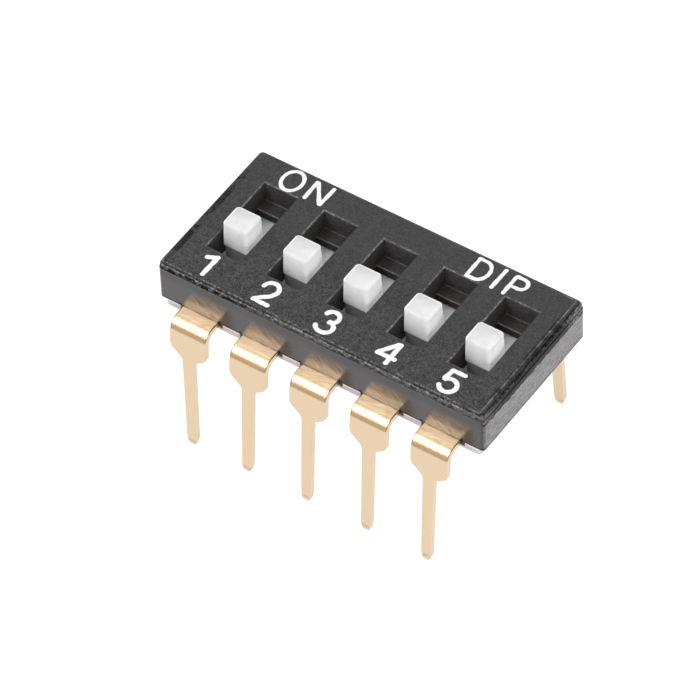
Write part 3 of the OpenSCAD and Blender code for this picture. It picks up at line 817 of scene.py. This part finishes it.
def makeLead(node, x, turnRound, contactY, lean):
    centre, face, halfWide, halfThick = leadPath(contactY, lean)
    side, radius = np.tile([1.0, 0, 0], (len(centre), 1)), np.full(len(centre), lead["edgeRound"])
    grid = carried(centre, side, face, halfWide, halfThick, radius, steps=4, runOut=0.02)
    if turnRound:
        grid = grid * [-1, -1, 1]
    piece = makePiece("strip_" + node, [grid + [x, 0, 0]], "housing", contactGold)
    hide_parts(node)


for i in range(1, switchCount + 1):
    halfGap = lead["contactGap"] / 2
    makeLead(f"front_terminal_{i}", switchX(i), False, lead["onY"] - halfGap, lead["lean"] if i == 1 else 0.0)
    makeLead(f"back_terminal_{i}", switchX(i), True, -lead["onY"] - halfGap, 0.0)
print("leads made")

# mm: strokes of digits and of letters, how far the ink stands proud, its thickness and uneven edge
printing = {"stroke": 0.180, "thin": 0.150, "lift": 0.0015, "thick": 0.010, "ragged": 0.011, "step": 0.025}


def arc(cx, cy, rx, ry, a0, a1, n):
    a = np.radians(np.linspace(a0, a1, n))
    return np.stack([cx + rx * np.cos(a), cy + ry * np.sin(a)], -1)


def line(*points):
    return np.array(points, float)


# Centre lines of the strokes, mm, each character about its own place on the cover
characters = {
    "O": [(-4.98, 2.51), [arc(0, 0, 0.39, 0.49, 82, 442, 40)]],
    "N": [(-3.86, 2.50), [line((-0.32, -0.42), (-0.34, 0.42)), line((-0.28, 0.42), (0.30, -0.42)),
                          line((0.33, -0.42), (0.36, 0.45))]],
    "D": [(2.98, 2.49), [line((-0.30, -0.46), (-0.30, 0.46)),
                         chain(line((-0.26, 0.46), (-0.05, 0.46)), arc(0, 0, 0.35, 0.46, 88, -88, 20),
                               line((-0.05, -0.46), (-0.26, -0.46)))]],
    "I": [(3.74, 2.49), [line((-0.01, -0.47), (0.01, 0.47))]],
    "P": [(4.50, 2.47), [line((-0.28, -0.45), (-0.28, 0.44)),
                         chain(line((-0.24, 0.46), (0.02, 0.46)), arc(0.04, 0.215, 0.25, 0.245, 90, -90, 16),
                               line((0, -0.03), (-0.24, -0.03)))]],
    "1": [(-5.13, -2.38), [line((0, -0.48), (0.02, 0.44)), line((-0.32, 0.27), (0.0, 0.42))]],
    "2": [(-2.69, -2.37), [chain(arc(-0.01, 0.19, 0.30, 0.30, 176, -20, 16),
                                 line((0.15, -0.12), (-0.10, -0.30), (-0.29, -0.49))),
                           line((-0.29, -0.50), (0.31, -0.51))]],
    "3": [(-0.13, -2.38), [arc(-0.02, 0.25, 0.27, 0.26, 165, -80, 14),
                           arc(-0.02, -0.24, 0.33, 0.28, 80, -160, 18)]],
    "4": [(2.38, -2.40), [line((0.14, 0.45), (-0.30, -0.19)), line((-0.32, -0.22), (0.38, -0.21)),
                          line((0.22, 0.46), (0.21, -0.50))]],
    "5": [(4.97, -2.40), [line((-0.22, 0.47), (0.27, 0.48)), line((-0.22, 0.45), (-0.28, 0.04)),
                          arc(0.0, -0.20, 0.32, 0.31, 140, -155, 20)]],
}


def strokeGrid(points, centre, level, stroke):
    # Ink stroke: the line resampled by its length. At a round end the half width is half the stroke times
    # sin a, and the run-out half the stroke times cos a. A smoothed random row makes the edges uneven
    half = stroke / 2
    d = chain([0], np.cumsum(np.linalg.norm(np.diff(points, axis=0), axis=1)))
    n = max(int(d[-1] / printing["step"]), 12)
    s = d[-1] * (1 - np.cos(np.linspace(0, math.pi, n))) / 2 if len(points) < 4 else np.linspace(0, d[-1], n)
    p = np.stack([np.interp(s, d, points[:, c]) for c in (0, 1)], -1)
    along = np.gradient(p, axis=0)
    along = along / np.linalg.norm(along, axis=-1, keepdims=True)
    a = np.linspace(0.12, math.pi / 2, 7)[:-1]
    first = p[0] - along[0] * half * np.cos(a)[:, None]
    last = p[-1] + along[-1] * half * np.cos(a)[::-1, None]
    wide = chain(half * np.sin(a), np.full(n, half), half * np.sin(a)[::-1])
    p = chain(first, p, last) + centre
    along = chain(np.tile(along[0], (len(a), 1)), along, np.tile(along[-1], (len(a), 1)))
    wobble = np.convolve(rng.normal(size=len(p) + 4), np.ones(5) / 5, "valid") * printing["ragged"]
    rise = level + np.linspace(0, 1, len(p))
    height = topZ + printing["thick"] / 2 + printing["lift"] * (1 + rise)
    path = np.column_stack([p, height])
    side = np.stack([-along[:, 1], along[:, 0], 0 * along[:, 0]], -1)
    face = np.tile([0, 0, 1.0], (len(p), 1))
    halfThick, radius = np.full(len(p), printing["thick"] / 2), np.full(len(p), 0.005)
    return carried(path, side, face, wide * (1 + wobble / half), halfThick, radius, steps=3, runOut=0.002)


for label, (centre, strokes) in characters.items():
    stroke = printing["stroke"] if label.isdigit() else printing["thin"]
    grids = [strokeGrid(s, np.array(centre), 1.5 * level, stroke) for level, s in enumerate(strokes)]
    makePiece("print_" + label, grids, "housing", printWhite)
print("printing made:", len(characters), "characters")

studio = {
    "floorHalf": 160.0, "floorDrop": 0.02, "floorWhite": 0.28, "floorVary": 0.02, "floorGlow": 0.82,
    "sky": 0.80, "horizon": 0.50, "skyEdges": (0.45, 0.75), "haze": 0.40, "hazeEdges": (0.0, 0.16),
    "fill": 0.66, "pastFloor": 0.99,
}


def makeFloor():
    k, h = studio, studio["floorHalf"] * mm
    mesh = bpy.data.meshes.new("floor")
    corners = [(x * h, y * h, -k["floorDrop"] * mm) for x, y in ((-1, -1), (1, -1), (1, 1), (-1, 1))]
    mesh.from_pydata(corners, [], [(0, 1, 2, 3)])
    floor = newObject("floor", mesh)
    mat, tree, shader, pos = newMaterial("paleFloor", Roughness=0.9)
    greys = [(grey, grey, grey, 1) for grey in (k["floorWhite"], k["floorWhite"] + k["floorVary"])]
    tree.links.new(mixColor(tree, noise(tree, pos, 0.05, 2.0), *greys), shader["Base Color"])
    shader["Emission Color"].default_value = (1, 1, 1, 1)
    shader["Emission Strength"].default_value = k["floorGlow"]
    mesh.materials.append(mat)


def makeWorld():
    # Even for soft light; in reflections pale above and darker towards the horizon; white past the floor
    k = studio
    world = bpy.data.worlds.new("studio")
    bpy.context.scene.world = world
    world.use_nodes = True
    tree = world.node_tree
    up = split(tree, put(tree, "ShaderNodeTexCoord").outputs["Generated"])[2]
    value = ramp(tree, up, k["skyEdges"], k["horizon"], k["sky"])
    value = plus(tree, value, ramp(tree, up, k["hazeEdges"], k["haze"], 0.0))
    path = put(tree, "ShaderNodeLightPath").outputs
    value = mixValue(tree, path["Is Diffuse Ray"], value, k["fill"])
    value = mixValue(tree, path["Is Camera Ray"], value, k["pastFloor"])
    tree.links.new(joined(tree, value, value, value), tree.nodes["Background"].inputs["Color"])


lights = {                 # azimuth (0 in front, 90 at +X), elevation, distance mm, size mm, power W, colour
    "key": (-50, 57, 150, 80, 0.040, (1.0, 1.0, 1.0)),
    "core": (-37, 50, 150, 42, 0.033, (1.0, 1.0, 1.0)),
    "right": (74, 20, 150, 116, 0.080, (0.97, 0.98, 1.0)),
    "front": (28, 14, 150, 100, 0.020, (1.0, 1.0, 1.0)),
    "back": (165, 48, 160, 90, 0.020, (1.0, 1.0, 1.0)),
}
lampAim = (0, 0, 5.0)      # mm


def fromCentre(azimuth, elevation):
    a, e = math.radians(azimuth), math.radians(elevation)
    return Vector((math.sin(a) * math.cos(e), -math.cos(a) * math.cos(e), math.sin(e)))


def makeLights():
    aim = Vector([c * mm for c in lampAim])
    for name, (azimuth, elevation, distance, wide, power, color) in lights.items():
        back = fromCentre(azimuth, elevation)
        data = bpy.data.lights.new(name, "AREA")
        data.shape, data.size, data.energy, data.color = "DISK", wide * mm, power, color
        lamp = newObject(name, data)
        lamp.location = aim + back * distance * mm
        lamp.rotation_mode = "QUATERNION"
        lamp.rotation_quaternion = (-back).to_track_quat("-Z", "Y")
        lamp.visible_camera = False


camera = {"azimuth": 35.881, "elevation": 48.131, "roll": -2.566, "distance": 227.76, "lens": 334.29,
          "target": (-0.027, -1.335, 5.0), "sensor": 36.0, "clip": (0.005, 5.0)}


def makeCamera():
    k = camera
    back = fromCentre(k["azimuth"], k["elevation"])
    right = Vector((math.cos(math.radians(k["azimuth"])), math.sin(math.radians(k["azimuth"])), 0))
    up = back.cross(right)
    turn = math.radians(k["roll"])
    x = right * math.cos(turn) + up * math.sin(turn)
    y = -right * math.sin(turn) + up * math.cos(turn)
    data = bpy.data.cameras.new("camera")
    data.lens, data.sensor_width = k["lens"], k["sensor"]
    data.clip_start, data.clip_end = k["clip"]
    cam = newObject("camera", data)
    place = (Vector(k["target"]) + back * k["distance"]) * mm
    cam.matrix_world = Matrix.Translation(place) @ Matrix((x, y, back)).transposed().to_4x4()
    bpy.context.scene.camera = cam


makeFloor()
makeWorld()
makeLights()
makeCamera()
view = bpy.context.scene.view_settings
view.view_transform, view.look, view.exposure, view.gamma = "Standard", "None", 0.0, 1.0
print("studio ready")
